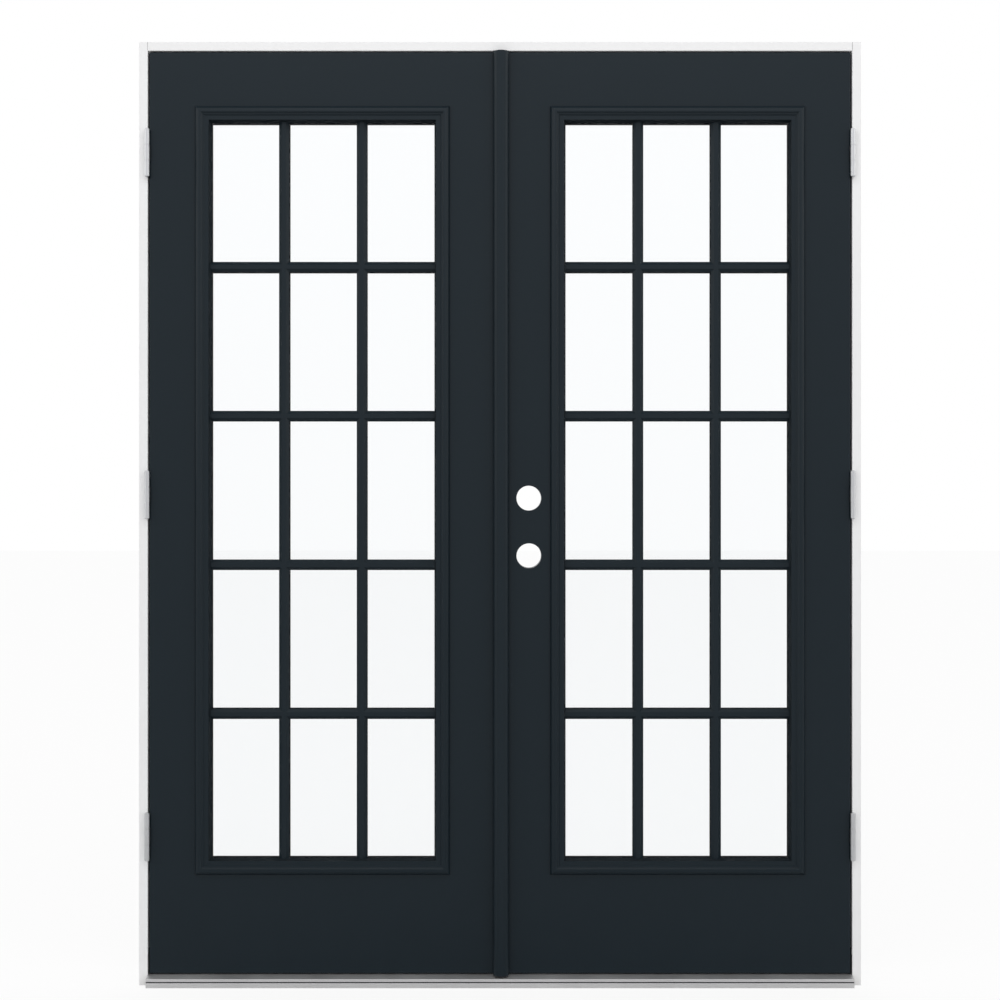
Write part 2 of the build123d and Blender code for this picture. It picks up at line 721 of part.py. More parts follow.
def astragal_moulding():
    """Half-round with a raised bead, fixed to the active leaf and lapping the passive one."""
    left = ASTRAGAL_OFFSET - ASTRAGAL_WIDTH / 2
    right = ASTRAGAL_OFFSET + ASTRAGAL_WIDTH / 2
    bead_left = ASTRAGAL_OFFSET - ASTRAGAL_BEAD_WIDTH / 2
    bead_right = ASTRAGAL_OFFSET + ASTRAGAL_BEAD_WIDTH / 2
    shoulder = -ASTRAGAL_SHOULDER
    bead = shoulder - ASTRAGAL_BEAD_STEP
    section = make_face([
        Polyline(
            (left, -ASTRAGAL_SIDE),
            (left, -ASTRAGAL_RELIEF),
            (MEETING_EDGE, -ASTRAGAL_RELIEF),
            (MEETING_EDGE, 0),
            (right, 0),
            (right, -ASTRAGAL_SIDE),
        ),
        swell((bead_right, shoulder), (right, -ASTRAGAL_SIDE), -ASTRAGAL_SHOULDER_SWELL),
        Line((bead_right, shoulder), (bead_right, bead)),
        swell((bead_left, bead), (bead_right, bead), -ASTRAGAL_BEAD_SWELL),
        Line((bead_left, bead), (bead_left, shoulder)),
        swell((left, -ASTRAGAL_SIDE), (bead_left, shoulder), -ASTRAGAL_SHOULDER_SWELL),
    ])
    bottom = SLAB_BOTTOM - ASTRAGAL_DROP
    return along_z(section, (bottom, SLAB_TOP)) - astragal_groove((bottom, SLAB_TOP))


def astragal_lap():
    """Middle of the part of the moulding that laps the passive leaf."""
    return (ASTRAGAL_OFFSET - ASTRAGAL_WIDTH / 2 - MEETING_EDGE) / 2


def astragal_groove(z):
    middle = astragal_lap()
    return block(
        (middle - ASTRAGAL_SEAL_WIDTH / 2, middle + ASTRAGAL_SEAL_WIDTH / 2),
        (-ASTRAGAL_RELIEF - ASTRAGAL_SEAL_DEPTH, -ASTRAGAL_RELIEF),
        z,
    )


def astragal_seal():
    """Strip in the moulding's back that meets the passive leaf's face."""
    groove = astragal_groove((SLAB_BOTTOM - ASTRAGAL_DROP, SLAB_TOP))
    box = groove.bounding_box()
    return block(
        (box.min.X, box.max.X), (box.min.Y, -SEAL_CLEARANCE), (box.min.Z, box.max.Z)
    )


def astragal_pad():
    """Soft pad under the moulding, cut to the fall of the sill."""
    slope = SILL_FALL / SILL_NOSE
    back = -ASTRAGAL_PAD_INSET
    front = ASTRAGAL_PAD_INSET - ASTRAGAL_SHOULDER
    top = SLAB_BOTTOM - ASTRAGAL_DROP
    section = polygon(
        (front, top),
        (back, top),
        (back, SILL_DECK + back * slope + SEAL_CLEARANCE),
        (front, SILL_DECK + front * slope + SEAL_CLEARANCE),
    )
    ends = (ASTRAGAL_OFFSET - ASTRAGAL_PAD_WIDTH / 2, ASTRAGAL_OFFSET + ASTRAGAL_PAD_WIDTH / 2)
    return along_x(section, ends)


# Assembly

def leaf(active):
    """All pieces of one leaf on the right-hand side, by name."""
    mortises = hinge_mortises(HINGE_EDGE, -1)
    bores = lock_bores() if active else []
    outer = skin((0, SKIN_THICKNESS), 0) - mortises - bores
    inner = skin((INNER_SKIN_FACE, SLAB_THICKNESS), SLAB_THICKNESS) - bores
    inner_stile_edge = HINGE_EDGE - HINGE_STILE_WIDTH
    inner_lock_edge = MEETING_EDGE + LOCK_STILE_WIDTH
    top_low = SLAB_TOP - TOP_RAIL_HEIGHT
    bottom_high = SLAB_BOTTOM + BOTTOM_RAIL_HEIGHT
    between = (inner_lock_edge, inner_stile_edge)
    lock_stile = core_block((MEETING_EDGE, inner_lock_edge), (SLAB_BOTTOM, SLAB_TOP))
    lock_stile -= [edge_recess(height) for height in LOCK_HEIGHTS]
    keep = latch_bore if active else strike_pocket
    lock_stile -= [keep(height) for height in LOCK_HEIGHTS]
    lock_stile -= bores
    strip = sweep()
    if not active:
        lock_stile -= [bolt_pocket(SLAB_TOP, -1), bolt_pocket(SLAB_BOTTOM, 1)]
        strip -= bolt_hole((SILL_DECK, SLAB_BOTTOM), BOLT_CLEARANCE)
    pieces = {
        "outer_skin": outer,
        "inner_skin": inner,
        "hinge_stile": core_block((inner_stile_edge, HINGE_EDGE), (SLAB_BOTTOM, SLAB_TOP))
        - mortises,
        "lock_stile": lock_stile,
        "top_rail": core_block(between, (top_low, SLAB_TOP)),
        "bottom_rail": core_block(between, (SLAB_BOTTOM, bottom_high)),
        "foam_core": core_block(between, (bottom_high, top_low))
        - lite_hole((SKIN_THICKNESS, INNER_SKIN_FACE)),
        "bottom_sweep": strip,
        "hinge_leaves": group(
            hinge_leaf(HINGE_EDGE, -1, height, range(1, KNUCKLE_COUNT, 2)) - pin_hole(height)
            for height in HINGE_HEIGHTS
        ),
    }
    if not active:
        pieces["bolt_plates"] = group([bolt_plate(SLAB_TOP, -1), bolt_plate(SLAB_BOTTOM, 1)])
    for name, solid in lite().items():
        pieces[name] = Pos(LITE_X, 0, LITE_Z) * solid
    return pieces


def both_sides(solids):
    """The given solids and their mirror images as one node."""
    right = list(solids)
    return group([*right, *[flip(solid) for solid in right]])


def assembly():
    """Every piece of the doors by its node name."""
    jamb = jamb_board() - hinge_mortises(RABBET, 1)
    strip = jamb_strip()
    hinge_leaves = [
        hinge_leaf(RABBET, 1, height, range(0, KNUCKLE_COUNT, 2)) + hinge_pin(height)
        for height in HINGE_HEIGHTS
    ]
    head_plate_z = (HEAD_RABBET, HEAD_RABBET + STRIKE_THICKNESS)
    sill_plate_z = (SILL_DECK - STRIKE_THICKNESS, SILL_DECK)
    head_hole = bolt_hole((HEAD_RABBET, HEAD_RABBET + BOLT_THROW), BOLT_HOLE_CLEARANCE)
    sill_hole = bolt_hole((SLAB_BOTTOM - BOLT_THROW - SILL_GAP, SILL_DECK), BOLT_HOLE_CLEARANCE)
    head_plate = strike_body(head_plate_z)
    sill_plate = strike_body(sill_plate_z)
    core = sill_core()
    bumper = sill_bumper()
    pieces = {
        "left_jamb": flip(jamb),
        "right_jamb": jamb,
        "head_jamb": head_board() - [flip(head_plate), flip(head_hole)],
        "sill_cap": sill_solid() - core - bumper - flip(sill_plate),
        "sill_core": core - bumper - flip(sill_hole),
        "left_weatherstrip": flip(strip),
        "right_weatherstrip": strip,
        "head_weatherstrip": head_strip(),
        "sill_weatherstrip": bumper,
        "frame_hinge_leaves": both_sides(hinge_leaves),
        "bolt_strikes": group([flip(head_plate - head_hole), flip(sill_plate - sill_hole)]),
        "top_bolt": flip(bolt_rod(SLAB_TOP, -1)),
        "bottom_bolt": flip(bolt_rod(SLAB_BOTTOM, 1)),
        "right_astragal_moulding": astragal_moulding(),
        "right_astragal_seal": astragal_seal(),
        "right_astragal_pad": astragal_pad(),
    }
    for name, solid in leaf(active=True).items():
        pieces[f"right_{name}"] = solid
    for name, solid in leaf(active=False).items():
        pieces[f"left_{name}"] = flip(solid)
    return pieces


os.makedirs("parts", exist_ok=True)
for name, solid in assembly().items():
    export_step(solid, f"parts/{name}.step")
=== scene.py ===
import json
import math
import bmesh
import bpy
from mathutils import Matrix, Vector


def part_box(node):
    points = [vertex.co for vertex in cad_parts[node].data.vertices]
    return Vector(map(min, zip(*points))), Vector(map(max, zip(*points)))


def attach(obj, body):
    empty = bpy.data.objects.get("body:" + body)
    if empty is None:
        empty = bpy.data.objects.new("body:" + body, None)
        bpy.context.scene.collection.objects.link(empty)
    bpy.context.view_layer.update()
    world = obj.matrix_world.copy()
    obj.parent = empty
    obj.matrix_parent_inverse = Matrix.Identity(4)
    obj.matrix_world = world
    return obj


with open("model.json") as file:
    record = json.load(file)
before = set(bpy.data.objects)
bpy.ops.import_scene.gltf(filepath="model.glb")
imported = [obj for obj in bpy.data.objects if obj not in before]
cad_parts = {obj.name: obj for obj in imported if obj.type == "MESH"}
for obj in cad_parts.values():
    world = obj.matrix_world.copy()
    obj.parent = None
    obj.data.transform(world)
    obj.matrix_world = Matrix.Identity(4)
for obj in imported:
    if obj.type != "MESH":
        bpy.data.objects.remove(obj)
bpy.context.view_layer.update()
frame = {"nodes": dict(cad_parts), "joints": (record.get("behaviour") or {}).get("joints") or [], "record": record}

nodes = frame["nodes"]
joints = {joint["name"]: joint for joint in frame["joints"]}
scene = bpy.context.scene
MM = 0.001


# Places, in millimetres

def extent(node, axis):
    """The lowest and the highest place of a node along one axis."""
    return tuple(round(corner["XYZ".index(axis)] / MM, 3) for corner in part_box(node))


SIDES = (("left", -1), ("right", 1))

# The leaves: how far their edges are from the middle, and their thickness.
MEETING_EDGE, HINGE_EDGE = extent("right_outer_skin", "X")
SLAB_THICKNESS = extent("right_inner_skin", "Y")[1]
MID_SLAB = SLAB_THICKNESS / 2

# The frame: half the doorway's width, the front of the sill's nose and the top edge.
RABBET = extent("sill_cap", "X")[1]
NOSE_FRONT = extent("sill_cap", "Y")[0]
FRAME_TOP = extent("head_jamb", "Z")[1]

# The hinges: the middle height of each one, and the line of the pins.
HINGE_HALF_HEIGHT = 50.8
HINGE_FOOT, HINGE_HEAD = extent("right_hinge_leaves", "Z")
HINGE_HEIGHTS = (
    HINGE_FOOT + HINGE_HALF_HEIGHT,
    (HINGE_FOOT + HINGE_HEAD) / 2,
    HINGE_HEAD - HINGE_HALF_HEIGHT,
)
PIN_X, PIN_Y = (round(value / MM, 3) for value in joints["right_leaf_hinge"]["pos_m"][:2])

# The strikes lie flush in the sill's deck and in the head.
STRIKE_THICKNESS = 2.0
STRIKE_LEFT, STRIKE_RIGHT = extent("bolt_strikes", "X")
STRIKE_FOOT, STRIKE_HEAD = extent("bolt_strikes", "Z")
SILL_DECK = STRIKE_FOOT + STRIKE_THICKNESS
HEAD_RABBET = STRIKE_HEAD - STRIKE_THICKNESS

BOLT_PLATE_HEIGHT = 110.0
BOLT_PLATE_FOOT, BOLT_PLATE_HEAD = extent("left_bolt_plates", "Z")


# Materials

class Shader:
    """A node material with one Principled shader and short ways to feed it."""

    def __init__(self, name):
        self.material = bpy.data.materials.new(name)
        self.material.use_nodes = True
        self.tree = self.material.node_tree
        self.bsdf = self.tree.nodes["Principled BSDF"]
        coordinates = self.tree.nodes.new("ShaderNodeTexCoord")
        self.place = coordinates.outputs["Object"]
        self.normal = coordinates.outputs["Normal"]

    def set(self, **values):
        for name, value in values.items():
            self.bsdf.inputs[name.replace("_", " ")].default_value = value

    def link(self, source, target):
        self.tree.links.new(source, target)

    def scaled(self, scale):
        node = self.tree.nodes.new("ShaderNodeMapping")
        node.inputs["Scale"].default_value = scale
        self.link(self.place, node.inputs["Vector"])
        return node.outputs["Vector"]

    def noise(self, scale, detail=3.0, roughness=0.5, stretch=None, distortion=0.0):
        node = self.tree.nodes.new("ShaderNodeTexNoise")
        node.inputs["Scale"].default_value = scale
        node.inputs["Detail"].default_value = detail
        node.inputs["Roughness"].default_value = roughness
        node.inputs["Distortion"].default_value = distortion
        self.link(self.scaled(stretch) if stretch else self.place, node.inputs["Vector"])
        return node.outputs["Fac"]

    def span(self, source, low, high, start=0.0, end=1.0):
        """The source from start to end, spread from low to high and held there outside."""
        node = self.tree.nodes.new("ShaderNodeMapRange")
        node.inputs["From Min"].default_value = start
        node.inputs["From Max"].default_value = end
        node.inputs["To Min"].default_value = low
        node.inputs["To Max"].default_value = high
        self.link(source, node.inputs["Value"])
        return node.outputs["Result"]

    def blend(self, factor, first, second):
        node = self.tree.nodes.new("ShaderNodeMix")
        node.data_type = "RGBA"
        self.link(factor, node.inputs["Factor"])
        for value, socket in ((first, node.inputs["A"]), (second, node.inputs["B"])):
            if isinstance(value, tuple):
                socket.default_value = value
            else:
                self.link(value, socket)
        return node.outputs["Result"]

    def pair(self, operation, first, second):
        node = self.tree.nodes.new("ShaderNodeMath")
        node.operation = operation
        self.link(first, node.inputs[0])
        self.link(second, node.inputs[1])
        return node.outputs[0]

    def larger(self, first, second):
        return self.pair("MAXIMUM", first, second)

    def smaller(self, first, second):
        return self.pair("MINIMUM", first, second)

    def part(self, vector, axis):
        """How far a vector goes along one axis, whichever way."""
        split = self.tree.nodes.new("ShaderNodeSeparateXYZ")
        size = self.tree.nodes.new("ShaderNodeMath")
        size.operation = "ABSOLUTE"
        self.link(vector, split.inputs[0])
        self.link(split.outputs[axis], size.inputs[0])
        return size.outputs[0]

    def bump(self, height, distance, strength=1.0, normal=None):
        node = self.tree.nodes.new("ShaderNodeBump")
        node.inputs["Distance"].default_value = distance
        node.inputs["Strength"].default_value = strength
        self.link(height, node.inputs["Height"])
        if normal:
            self.link(normal, node.inputs["Normal"])
        return node.outputs["Normal"]

    def feed(self, **sources):
        for name, source in sources.items():
            self.link(source, self.bsdf.inputs[name.replace("_", " ")])
        return self


def linear(red, green, blue):
    """An sRGB colour of 0 to 255 as the linear colour a shader takes."""
    def curve(value):
        value /= 255
        return value / 12.92 if value <= 0.04045 else ((value + 0.055) / 1.055) ** 2.4
    return (curve(red), curve(green), curve(blue), 1.0)


def shade(colour, share, lift=0.0):
    """A linear colour times a share, with a little light added."""
    red, green, blue, _ = colour
    return (red * share + lift, green * share + lift, blue * share + lift, 1.0)


NAVY = linear(19, 31, 38)
WHITE_DARK, WHITE_LIGHT = linear(239, 239, 239), linear(246, 246, 246)
STILE_DARK, STILE_LIGHT = linear(27, 33, 38), linear(36, 43, 50)
FOAM_LIGHT, FOAM_DARK = linear(222, 205, 150), linear(196, 176, 120)
STEEL_LIGHT, STEEL_DARK = linear(210, 211, 213), linear(199, 200, 202)
ALUMINIUM_LIGHT, ALUMINIUM_DARK = linear(224, 224, 224), linear(210, 210, 210)
GLASS_TINT = (0.985, 0.992, 0.996, 1.0)

# Most of a noise lies between these two values.
NOISE_BODY = (0.3, 0.7)
PAINT_SPECULAR = 0.22

# A moulding's walls: a face is steep up to the first flatness and flat from the second one
# on, where 0 is square to the leaf's face and 1 is in it. Steep paint is matte and darker: painted shade.
STEEP = (0.35, 0.55)
WALL_SHADE_SHARE = 0.7
WALL_ROUGHNESS = 0.8

# Where a hinge's flat is darkened to the leaf's navy as painted shade, as ramps in metres from
# the middle of the doors and from their outside face: near the hinges only, on the flat's side, on its rim.
NEAR_HINGES = ((HINGE_EDGE - 18.0) * MM, (HINGE_EDGE - 8.0) * MM)
FLAT_SIDE = ((HINGE_EDGE - 2.15) * MM, (HINGE_EDGE - 2.0) * MM)
FLAT_RIM = ((HINGE_EDGE + 0.1) * MM, (HINGE_EDGE + 0.5) * MM)
RIM_DEPTH = (0.8 * MM, 1.2 * MM)


def dark_paint(name, roughness, peel, matte_shaded_walls=False):
    """Satin paint on moulded skins: a faint mottle, orange peel and uneven gloss. The steep
    walls of a moulding may be matte, and darker as painted shade in their recesses."""
    shader = Shader(name)
    mottle = shader.noise(7.0, detail=5.0, roughness=0.6)
    fine = shader.noise(650.0, detail=2.0)
    gloss = shader.noise(28.0, detail=4.0)
    paint = shader.blend(mottle, shade(NAVY, 0.94), shade(NAVY, 1.07))
    sheen = shader.span(gloss, roughness - 0.03, roughness + 0.03, *NOISE_BODY)
    if matte_shaded_walls:
        flatness = shader.part(shader.normal, "Y")
        steep = shader.span(flatness, 1.0, 0.0, *STEEP)
        # steep walls darkened: painted shade
        paint = shader.blend(steep, paint, shade(NAVY, WALL_SHADE_SHARE))
        sheen = shader.larger(sheen, shader.span(steep, 0.0, WALL_ROUGHNESS))
    shader.set(Specular_IOR_Level=PAINT_SPECULAR)
    return shader.feed(
        Base_Color=paint, Roughness=sheen, Normal=shader.bump(fine, peel * MM)
    ).material


def white_paint(name):
    """Painted wood: satin white, faint grain along the board and a brushed film."""
    shader = Shader(name)
    grain = shader.noise(260.0, detail=4.0, stretch=(1.0, 1.0, 0.035), distortion=0.4)
    film = shader.noise(900.0, detail=2.0)
    mottle = shader.noise(3.0, detail=4.0)
    rough = shader.bump(grain, 0.02 * MM, strength=0.6)
    return shader.feed(
        Base_Color=shader.blend(mottle, WHITE_DARK, WHITE_LIGHT),
        Roughness=shader.span(grain, 0.38, 0.5, *NOISE_BODY),
        Normal=shader.bump(film, 0.008 * MM, strength=0.5, normal=rough),
    ).material


def painted_shade_edge(shader):
    """1 where the edge of a hinge's flat is darkened to navy as painted shade, 0 elsewhere."""
    aside = shader.part(shader.place, "X")
    ahead = shader.part(shader.place, "Y")
    side = shader.span(aside, 1.0, 0.0, *FLAT_SIDE)
    rim = shader.smaller(
        shader.span(aside, 1.0, 0.0, *FLAT_RIM), shader.span(ahead, 1.0, 0.0, *RIM_DEPTH)
    )
    return shader.smaller(shader.span(aside, 0.0, 1.0, *NEAR_HINGES), shader.larger(side, rim))


def metal(name, light, dark, roughness, scale, stretch, depth, metallic=1.0, painted=False):
    """Bare or plated metal with a directional grain. The edge that a hinge's flat shows beside
    the leaf may be darkened to navy as painted shade."""
    shader = Shader(name)
    grain = shader.noise(scale, detail=5.0, roughness=0.65, stretch=stretch)
    cloud = shader.noise(14.0, detail=3.0)
    colour = shader.blend(grain, dark, light)
    if painted:
        # navy on the hinge flat's edge beside the leaf: painted shade
        colour = shader.blend(painted_shade_edge(shader), colour, NAVY)
    shader.set(Metallic=metallic)
    return shader.feed(
        Base_Color=colour,
        Roughness=shader.span(cloud, roughness - 0.05, roughness + 0.06, *NOISE_BODY),
        Normal=shader.bump(grain, depth * MM, strength=0.6),
    ).material


def soft_seal(name, colour, roughness, specular=0.3):
    """Foam-filled vinyl or rubber: matte, with a fine skin texture and a dusty bloom."""
    shader = Shader(name)
    bloom = shader.noise(35.0, detail=5.0)
    fine = shader.noise(1400.0, detail=3.0)
    dust = shader.span(bloom, 0.0, 0.4, start=0.4, end=0.7)
    shader.set(Specular_IOR_Level=specular)
    return shader.feed(
        Base_Color=shader.blend(dust, colour, shade(colour, 1.5, lift=0.01)),
        Roughness=shader.span(bloom, roughness - 0.06, roughness + 0.06, *NOISE_BODY),
        Normal=shader.bump(fine, 0.03 * MM),
    ).material


def clear_glass(name):
    """Clear panes with a trace of blue."""
    shader = Shader(name)
    shader.set(Base_Color=GLASS_TINT, Roughness=0.0, IOR=1.3, Transmission_Weight=1.0)
    return shader.material


def wood_edge(name):
    """Laminated stile, its edges painted with the leaf: grain shows through the film."""
    shader = Shader(name)
    grain = shader.noise(180.0, detail=5.0, stretch=(1.0, 1.0, 0.03), distortion=0.6)
    shader.set(Specular_IOR_Level=0.4)
    return shader.feed(
        Base_Color=shader.blend(grain, STILE_DARK, STILE_LIGHT),
        Roughness=shader.span(grain, 0.42, 0.55, *NOISE_BODY),
        Normal=shader.bump(grain, 0.06 * MM, strength=0.7),
    ).material


def rigid_foam(name):
    """Pale cellular foam."""
    shader = Shader(name)
    cells = shader.tree.nodes.new("ShaderNodeTexVoronoi")
    cells.inputs["Scale"].default_value = 600.0
    shader.link(shader.place, cells.inputs["Vector"])
    distance = cells.outputs["Distance"]
    shader.set(Roughness=0.9)
    return shader.feed(
        Base_Color=shader.blend(distance, FOAM_LIGHT, FOAM_DARK),
        Normal=shader.bump(distance, 0.2 * MM, strength=0.8),
    ).material


MATERIALS = {
    "leaf_paint": dark_paint("leaf_paint", roughness=0.40, peel=0.010),
    # its steep walls get painted shade
    "trim_paint": dark_paint("trim_paint", roughness=0.38, peel=0.007, matte_shaded_walls=True),
    "frame_paint": white_paint("frame_paint"),
    "stile_wood": wood_edge("stile_wood"),
    "foam": rigid_foam("rigid_foam"),
    "glass": clear_glass("clear_glass"),
    "spacer": soft_seal("spacer", linear(20, 21, 23), roughness=0.8, specular=0.0),
    "seal": soft_seal("seal", linear(40, 40, 41), roughness=0.7),
    "hinge_steel": metal(
        "hinge_steel",
        light=STEEL_LIGHT,
        dark=STEEL_DARK,
        roughness=0.42,
        scale=900.0,
        stretch=(1.0, 1.0, 0.08),
        depth=0.003,
        # darkens the flat's edge beside the leaf: painted shade
        painted=True,
    ),
    "sill_aluminium": metal(
        "sill_aluminium",
        light=ALUMINIUM_LIGHT,
        dark=ALUMINIUM_DARK,
        roughness=0.48,
        scale=1400.0,
        stretch=(0.02, 1.0, 1.0),
        depth=0.004,
        metallic=0.86,
    ),
    "sill_composite": soft_seal("sill_composite", linear(150, 145, 136), roughness=0.7),
}

# dark grey strip in the corner seams: painted shadow line
seam_shadow_line = soft_seal("seam_shadow_line", linear(96, 96, 95), roughness=0.8)

slot_of = {entry["node"]: entry["material_slot"] for entry in frame["record"]["subparts"]}

WELD_DISTANCE = 0.001 * MM
CREASE_ANGLE = math.radians(25)


def smoothing():
    """Node group that joins split corners and smooths every edge but the sharp ones."""
    group = bpy.data.node_groups.new("smooth_curves", "GeometryNodeTree")
    group.interface.new_socket("Geometry", in_out="INPUT", socket_type="NodeSocketGeometry")
    group.interface.new_socket("Geometry", in_out="OUTPUT", socket_type="NodeSocketGeometry")
    make = group.nodes.new
    link = group.links.new
    start = make("NodeGroupInput")
    end = make("NodeGroupOutput")
    merge = make("GeometryNodeMergeByDistance")
    merge.inputs["Distance"].default_value = WELD_DISTANCE
    smooth = make("GeometryNodeSetShadeSmooth")
    smooth.domain = "FACE"
    smooth.inputs["Shade Smooth"].default_value = True
    angle = make("GeometryNodeInputMeshEdgeAngle")
    sharp = make("FunctionNodeCompare")
    sharp.data_type = "FLOAT"
    sharp.operation = "GREATER_THAN"
    sharp.inputs["B"].default_value = CREASE_ANGLE
    crease = make("GeometryNodeSetShadeSmooth")
    crease.domain = "EDGE"
    crease.inputs["Shade Smooth"].default_value = False
    link(start.outputs[0], merge.inputs["Geometry"])
    link(merge.outputs["Geometry"], smooth.inputs["Geometry"])
    link(smooth.outputs["Geometry"], crease.inputs["Geometry"])
    link(angle.outputs["Unsigned Angle"], sharp.inputs["A"])
    link(sharp.outputs["Result"], crease.inputs["Selection"])
    link(crease.outputs["Geometry"], end.inputs[0])
    return group


smooth_group = smoothing()
for name, thing in nodes.items():
    for entry in thing.material_slots:
        entry.material = MATERIALS[slot_of[name]]
    thing.modifiers.new("smooth", "NODES").node_group = smooth_group


# Small pieces, in millimetres

RING_POINTS = 24
HERE = Matrix.Identity(4)


def circle(radius, height):
    """A ring of points round the Z axis."""
    turns = [index * math.tau / RING_POINTS for index in range(RING_POINTS)]
    return [(radius * math.cos(turn), radius * math.sin(turn), height) for turn in turns]


def cross(reach, half_width, height):
    """A cross of as many points as a circle, in the same order."""
    middle = (reach + half_width) / 2
    arm = (
        (reach, 0.0),
        (reach, half_width),
        (middle, half_width),
        (half_width, half_width),
        (half_width, middle),
        (half_width, reach),
    )
    points = []
    for quarter in range(4):
        for x, y in arm:
            for _ in range(quarter):
                x, y = -y, x
            points.append((x, y, height))
    return points


def outline(x, y, height):
    """A rectangle at one height, between the two values of each pair."""
    corners = ((0, 0), (1, 0), (1, 1), (0, 1))
    return [(x[i], y[j], height) for i, j in corners]


def shell(mesh, rings, place):
    """A closed skin over rings of equally many points, the first and the last one capped."""
    rows = [[mesh.verts.new(place @ (Vector(point) * MM)) for point in ring] for ring in rings]
    for low, high in zip(rows, rows[1:]):
        for index in range(len(low)):
            after = (index + 1) % len(low)
            mesh.faces.new((low[index], low[after], high[after], high[index]))
    mesh.faces.new(rows[0][::-1])
    mesh.faces.new(rows[-1])


def facing(spot, axis, spin=0.0):
    """The place of a small piece on a surface at spot that looks along axis."""
    turn = Vector(axis).to_track_quat("Z", "Y").to_matrix().to_4x4()
    return Matrix.Translation(Vector(spot) * MM) @ turn @ Matrix.Rotation(spin, 4, "Z")


def piece(name, body, slot, shells, material=None):
    """One object made of the given shells, each a list of rings and its place."""
    mesh = bpy.data.meshes.new(name)
    build = bmesh.new()
    for rings, place in shells:
        shell(build, rings, place)
    build.to_mesh(mesh)
    build.free()
    thing = bpy.data.objects.new(name, mesh)
    mesh.materials.append(material or MATERIALS[slot])
    scene.collection.objects.link(thing)
    thing.modifiers.new("smooth", "NODES").node_group = smooth_group
    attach(thing, body)


# A screw's head: shares of its radius with the height of each ring. Its recess: shares for
# the reach and the half width of the cross, with its height.
SCREW_HEAD = ((1.0, -0.3), (1.0, 0.1), (0.93, 0.25), (0.7, 0.46))
RECESS_RIM = (0.52, 0.13, 0.56)
RECESS_FLOOR = (0.42, 0.09, 0.06)

# A dome: shares of its radius with shares of its height. Its foot stands in the surface.
DOME_FOOT_SHARE = 0.94
DOME_FOOT_DEPTH = 0.2
DOME = ((1.0, 0.12), (0.98, 0.4), (0.87, 0.72), (0.62, 0.92), (0.28, 1.0))


def screw(radius):
    """Countersunk screw, its head slightly domed, with a cross recess."""
    rings = [circle(radius * share, height) for share, height in SCREW_HEAD]
    for reach, half_width, height in (RECESS_RIM, RECESS_FLOOR):
        rings.append(cross(radius * reach, radius * half_width, height))
    return rings


def dome(radius, height):
    """Button with a rounded shoulder and a slightly crowned top."""
    rings = [circle(radius * DOME_FOOT_SHARE, -DOME_FOOT_DEPTH)]
    return rings + [circle(radius * share, height * rise) for share, rise in DOME]


# How far a screw is turned on from the one before it, and from its partner, in radians.
SPIN = 2.4
PARTNER_SPIN = 1.0

# Hinge screws: how deep in the doorway, and how far above the middle of their hinge.
HINGE_SCREW_SPOTS = ((27.5, -38.0), (13.5, -14.5), (13.5, 14.5), (27.5, 38.0))
HINGE_SCREW_RADIUS = 4.7
PIN_TIP_RADIUS = 4.9
PIN_TIP_HEIGHT = 1.6


def hinge_details():
    """Screws in both flats of each hinge and a domed tip on each end of its pin."""
    head = screw(HINGE_SCREW_RADIUS)
    tip = dome(PIN_TIP_RADIUS, PIN_TIP_HEIGHT)
    frame_screws, tips = [], []
    for side, sign in SIDES:
        leaf_screws = []
        for number, height in enumerate(HINGE_HEIGHTS):
            for index, (y, rise) in enumerate(HINGE_SCREW_SPOTS):
                spin = SPIN * (len(HINGE_SCREW_SPOTS) * number + index)
                on_leaf = (sign * HINGE_EDGE, y, height + rise)
                leaf_screws.append((head, facing(on_leaf, (sign, 0, 0), spin)))
                on_frame = (sign * RABBET, y, height + rise)
                frame_screws.append((head, facing(on_frame, (-sign, 0, 0), spin + PARTNER_SPIN)))
            for up in (-1, 1):
                end = (sign * PIN_X, PIN_Y, height + up * HINGE_HALF_HEIGHT)
                tips.append((tip, facing(end, (0, 0, up))))
        piece(f"{side}_hinge_screws", f"{side}_leaf", "hinge_steel", leaf_screws)
    piece("frame_hinge_screws", "frame", "hinge_steel", frame_screws)
    piece("hinge_pin_tips", "frame", "hinge_steel", tips)


# Caps: how far in from the lite frame's outer edge, how far out from the leaf's room face,
# and how many along each upright and along the top and the bottom.
CAP_INSET = 25.5
CAP_STAND = 5.2
CAP_ROWS = 7
CAP_COLUMNS = 3
CAP_RADIUS = 3.9
CAP_HEIGHT = 0.7


def middles(count):
    """The middles of equal steps from -1 to 1."""
    return [(index + 0.5) / count * 2 - 1 for index in range(count)]


def screw_caps():
    """Caps over the screws that draw the two lite frames together, round the room side."""
    left, right = extent("right_inner_lite_frame", "X")
    foot, head = extent("right_inner_lite_frame", "Z")
    middle_x, middle_z = (left + right) / 2, (foot + head) / 2
    half_width = round((right - left) / 2 - CAP_INSET, 1)
    half_height = round((head - foot) / 2 - CAP_INSET, 1)
    spots = []
    for rise in middles(CAP_ROWS):
        spots += [(end * half_width, rise * half_height) for end in (-1, 1)]
    for shift in middles(CAP_COLUMNS):
        spots += [(shift * half_width, end * half_height) for end in (-1, 1)]
    cap = dome(CAP_RADIUS, CAP_HEIGHT)
    for side, sign in SIDES:
        shells = []
        for x, z in spots:
            spot = (sign * (middle_x + x), SLAB_THICKNESS + CAP_STAND, middle_z + z)
            shells.append((cap, facing(spot, (0, 1, 0))))
        piece(f"{side}_screw_caps", f"{side}_leaf", "trim_paint", shells)


# Bolt screws: how far in from the ends of the face plate and of the strike.
SMALL_SCREW_RADIUS = 2.7
PLATE_SCREW_INSET = 7.5
STRIKE_SCREW_INSET = 4.35


